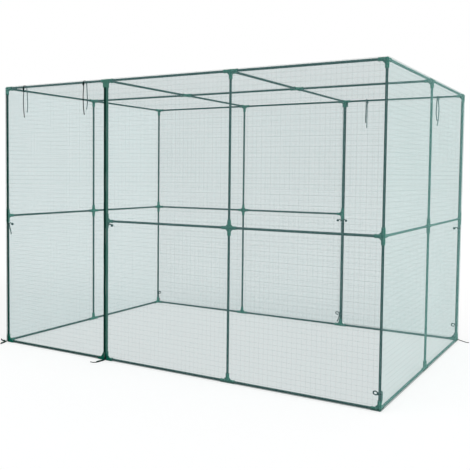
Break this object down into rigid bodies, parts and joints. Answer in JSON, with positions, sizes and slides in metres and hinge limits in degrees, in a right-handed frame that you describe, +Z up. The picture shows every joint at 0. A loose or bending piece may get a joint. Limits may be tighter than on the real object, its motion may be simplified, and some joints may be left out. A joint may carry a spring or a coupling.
{
  "type": "crop cage",
  "caption": "Walk-in netted garden frame of coated tubes in webbed connectors, with a roll-up door closed by two zips at each of two opposite corners.",
  "frame": {"origin": "on the ground at the middle of the footprint", "axes": "+Z up, +X along the front away from its door, +Y from the front to the back"},
  "size_m": [3.2125, 2.1345, 2.0001],
  "materials": {
    "coated_steel": "satin plastic coat",
    "moulded_plastic": "moulded, matt",
    "net": "fine knitted net",
    "zip_tape": "woven tape and moulded coil",
    "slider_metal": "enamelled",
    "cord": "braided cord"
  },
  "bodies": {
    "root": {"post_front_1": "coated_steel", "post_front_2": "coated_steel", "post_front_3": "coated_steel", "post_front_4": "coated_steel", "post_back_1": "coated_steel", "post_back_2": "coated_steel", "post_back_3": "coated_steel", "post_back_4": "coated_steel", "post_left": "coated_steel", "post_right": "coated_steel", "base_rail_front": "coated_steel", "base_rail_back": "coated_steel", "base_rail_left": "coated_steel", "base_rail_right": "coated_steel", "middle_rail_front": "coated_steel", "middle_rail_back": "coated_steel", "middle_rail_left": "coated_steel", "middle_rail_right": "coated_steel", "roof_rail_front": "coated_steel", "roof_rail_back": "coated_steel", "roof_rail_left": "coated_steel", "roof_rail_right": "coated_steel", "roof_corner_front_1": "moulded_plastic", "roof_corner_front_4": "moulded_plastic", "roof_corner_back_1": "moulded_plastic", "roof_corner_back_4": "moulded_plastic", "roof_cross_bar_front_2": "coated_steel", "roof_cross_bar_front_3": "coated_steel", "roof_cross_bar_back_2": "coated_steel", "roof_cross_bar_back_3": "coated_steel", "roof_middle_bar": "coated_steel", "net_front": "net", "net_back": "net", "net_left": "net", "net_right": "net", "net_roof": "net", "door_net_front": "net", "door_net_back": "net", "zip_front_1": "zip_tape", "zip_front_2": "zip_tape", "zip_back_1": "zip_tape", "zip_back_2": "zip_tape", "tie_front_1": "cord", "tie_front_2": "cord", "tie_back_1": "cord", "tie_back_2": "cord", "ground_tail_front_1": "cord", "ground_tail_front_2": "cord", "ground_tail_back_1": "cord"},
    "front_door": {"door_hem_front": "zip_tape"},
    "back_door": {"door_hem_back": "zip_tape"},
    "front_slider_1": {"slider_front_1": "slider_metal"},
    "front_slider_2": {"slider_front_2": "slider_metal"},
    "back_slider_1": {"slider_back_1": "slider_metal"},
    "back_slider_2": {"slider_back_2": "slider_metal"},
    "front_pull_1": {"pull_tab_front_1": "slider_metal"},
    "front_pull_2": {"pull_tab_front_2": "slider_metal"},
    "back_pull_1": {"pull_tab_back_1": "slider_metal"},
    "back_pull_2": {"pull_tab_back_2": "slider_metal"}
  },
  "joints": [
    {"name": "front_door_rise", "type": "slide", "parent": "root", "child": "front_door", "axis": [0, 0, 1], "range_m": [0, 1.65], "deforming": ["door_net_front"]},
    {"name": "back_door_rise", "type": "slide", "parent": "root", "child": "back_door", "axis": [0, 0, 1], "range_m": [0, 1.65], "deforming": ["door_net_back"]},
    {"name": "front_zip_run_1", "type": "slide", "parent": "root", "child": "front_slider_1", "axis": [0, 0, 1], "range_m": [0, 1.85]},
    {"name": "front_zip_run_2", "type": "slide", "parent": "root", "child": "front_slider_2", "axis": [0, 0, 1], "range_m": [0, 1.85]},
    {"name": "back_zip_run_1", "type": "slide", "parent": "root", "child": "back_slider_1", "axis": [0, 0, 1], "range_m": [0, 1.85]},
    {"name": "back_zip_run_2", "type": "slide", "parent": "root", "child": "back_slider_2", "axis": [0, 0, 1], "range_m": [0, 1.85]},
    {"name": "front_pull_swing_1", "type": "hinge", "parent": "front_slider_1", "child": "front_pull_1", "pos_m": [-1.493, -1.0203, 0.052], "axis": [-1, 0, 0], "range_deg": [0, 170]},
    {"name": "front_pull_swing_2", "type": "hinge", "parent": "front_slider_2", "child": "front_pull_2", "pos_m": [-0.507, -1.0203, 0.052], "axis": [-1, 0, 0], "range_deg": [0, 170]},
    {"name": "back_pull_swing_1", "type": "hinge", "parent": "back_slider_1", "child": "back_pull_1", "pos_m": [1.493, 1.0203, 0.052], "axis": [1, 0, 0], "range_deg": [0, 170]},
    {"name": "back_pull_swing_2", "type": "hinge", "parent": "back_slider_2", "child": "back_pull_2", "pos_m": [0.507, 1.0203, 0.052], "axis": [1, 0, 0], "range_deg": [0, 170]}
  ]
}
